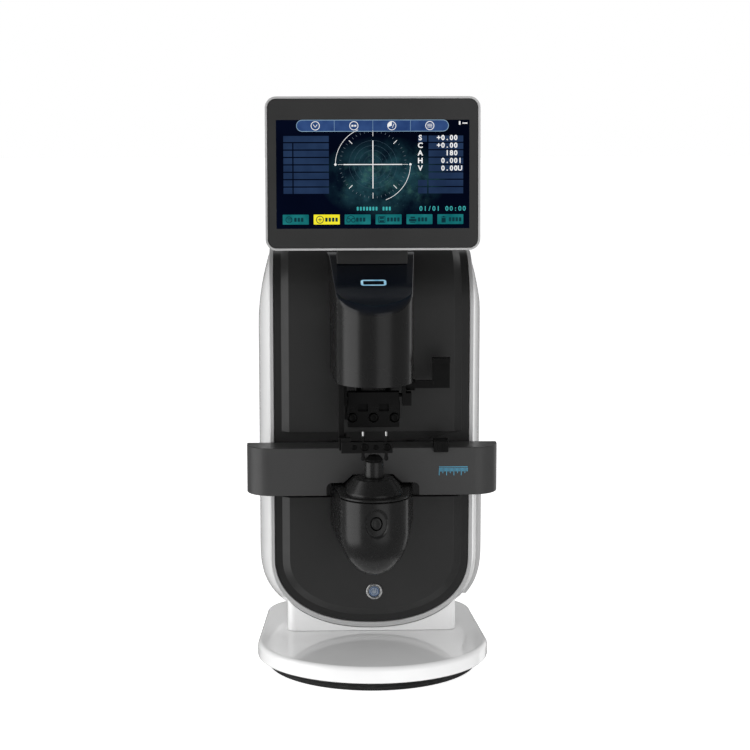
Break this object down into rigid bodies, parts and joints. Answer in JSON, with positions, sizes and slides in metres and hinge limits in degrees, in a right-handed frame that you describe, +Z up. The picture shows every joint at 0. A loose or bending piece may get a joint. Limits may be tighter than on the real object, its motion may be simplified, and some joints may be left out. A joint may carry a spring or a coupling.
{
  "type": "lensmeter",
  "caption": "Bench automatic lensmeter: tilting screen, lamp head, lens clamp and ink marker over a lens nose, sliding lens table, white and black casing on a round foot.",
  "frame": {"origin": "centre of the foot disc on the table top", "axes": "+Z up, the user stands at -Y, +X is to the user's right"},
  "size_m": [0.2056, 0.214, 0.4689],
  "materials": {
    "white_casing": "glossy white moulded plastic",
    "black_casing": "satin black moulded plastic, very fine grain",
    "black_mechanism": "matt black anodised and moulded mechanism parts",
    "silver_trim": "silver painted trim with a soft sheen",
    "steel": "ground steel",
    "chrome_pin": "polished chrome",
    "rubber_foot": "matt black rubber",
    "cast_ballast": "raw cast iron",
    "grey_plastic": "light grey moulded plastic",
    "blue_light": "lit pale blue diffuser",
    "display_glass": "black bonded display glass with a lit measuring screen",
    "display_panel": "back of the liquid crystal panel",
    "circuit_board": "green circuit board",
    "paper": "thermal paper",
    "aluminium": "machined aluminium"
  },
  "bodies": {
    "frame": {"foot_disc": "rubber_foot", "base_plate": "white_casing", "ballast_disc": "cast_ballast", "pedestal": "white_casing", "body_shell": "white_casing", "rear_cover": "white_casing", "rear_screw_1": "steel", "rear_screw_2": "steel", "rear_screw_3": "steel", "rear_screw_4": "steel", "power_socket": "black_mechanism", "data_port": "steel", "front_panel": "black_casing", "trim_ring": "silver_trim", "chassis_plate": "aluminium", "main_board": "circuit_board", "head_cover": "black_casing", "indicator_light": "blue_light", "head_bracket": "aluminium", "lamp_barrel": "black_mechanism", "marker_rod_left": "steel", "marker_rod_right": "steel", "screen_neck": "black_casing", "tilt_pin": "steel", "lower_housing": "black_casing", "lower_cap": "black_casing", "nose_tube": "black_casing", "lens_rest_tip": "black_mechanism", "sensor_barrel": "black_mechanism", "table_bush_left": "black_mechanism", "table_bush_right": "black_mechanism", "ink_cartridge": "black_mechanism", "power_button_ring": "steel", "paper_tray": "black_mechanism", "print_head": "aluminium"},
    "screen": {"screen_frame": "silver_trim", "screen_glass": "display_glass", "display_panel": "display_panel", "screen_back": "black_casing"},
    "lens_table": {"lens_table": "black_casing", "table_rod_left": "steel", "table_rod_right": "steel", "table_yoke": "aluminium"},
    "nose_pad_slider": {"nose_pad_slider": "black_mechanism"},
    "lens_clamp": {"clamp_arm": "black_mechanism", "clamp_bar": "black_mechanism"},
    "clamp_pin_left": {"clamp_pin_left": "chrome_pin"},
    "clamp_pin_right": {"clamp_pin_right": "chrome_pin"},
    "marker_carriage": {"marker_carriage": "black_mechanism", "marker_shaft": "steel", "marker_lever": "black_mechanism"},
    "pen_carrier": {"pen_carrier": "black_mechanism", "pen_left": "black_mechanism", "pen_centre": "black_mechanism", "pen_right": "black_mechanism"},
    "power_button": {"power_button_cap": "blue_light"},
    "read_button": {"read_button": "black_casing"},
    "printer_door": {"printer_door": "grey_plastic"},
    "platen_roller": {"platen_roller": "rubber_foot"},
    "paper_roll": {"paper_roll": "paper"}
  },
  "joints": [
    {"name": "screen_tilt", "type": "hinge", "parent": "frame", "child": "screen", "pos_m": [0, 0.007, 0.378], "axis": [-1, 0, 0], "range_deg": [-3, 25]},
    {"name": "table_slide", "type": "slide", "parent": "frame", "child": "lens_table", "axis": [0, 1, 0], "range_m": [-0.008, 0]},
    {"name": "nose_pad_slide", "type": "slide", "parent": "lens_table", "child": "nose_pad_slider", "axis": [1, 0, 0], "range_m": [-0.111, 0.014]},
    {"name": "clamp_lift", "type": "slide", "parent": "frame", "child": "lens_clamp", "axis": [0, 0, 1], "range_m": [0, 0.03]},
    {"name": "clamp_pin_left_press", "type": "slide", "parent": "lens_clamp", "child": "clamp_pin_left", "axis": [0, 0, 1], "range_m": [0, 0.003], "stiffness_N_per_m": 150},
    {"name": "clamp_pin_right_press", "type": "slide", "parent": "lens_clamp", "child": "clamp_pin_right", "axis": [0, 0, 1], "range_m": [0, 0.003], "stiffness_N_per_m": 150},
    {"name": "marker_press", "type": "slide", "parent": "frame", "child": "marker_carriage", "axis": [0, 0, -1], "range_m": [0, 0.017], "stiffness_N_per_m": 120},
    {"name": "marker_swing", "type": "hinge", "parent": "marker_carriage", "child": "pen_carrier", "pos_m": [0, -0.029, 0.23], "axis": [-1, 0, 0], "range_deg": [0, 90]},
    {"name": "power_button_press", "type": "slide", "parent": "frame", "child": "power_button", "axis": [0, 1, 0], "range_m": [0, 0.002], "stiffness_N_per_m": 400},
    {"name": "read_button_press", "type": "slide", "parent": "frame", "child": "read_button", "axis": [0, 1, 0], "range_m": [0, 0.0015], "stiffness_N_per_m": 400},
    {"name": "printer_door_hinge", "type": "hinge", "parent": "frame", "child": "printer_door", "pos_m": [0.0855, 0.062, 0.046], "axis": [0, 1, 0], "range_deg": [0, 65]},
    {"name": "platen_turn", "type": "hinge", "parent": "frame", "child": "platen_roller", "pos_m": [0.078, 0.062, 0.126], "axis": [0, 1, 0], "continuous": true},
    {"name": "paper_turn", "type": "hinge", "parent": "frame", "child": "paper_roll", "pos_m": [0.057, 0.062, 0.098], "axis": [0, 1, 0], "continuous": true}
  ],
  "couplings": [
    {"joint": "marker_swing", "follows": "marker_press", "rad_per_m": 92.4}
  ]
}
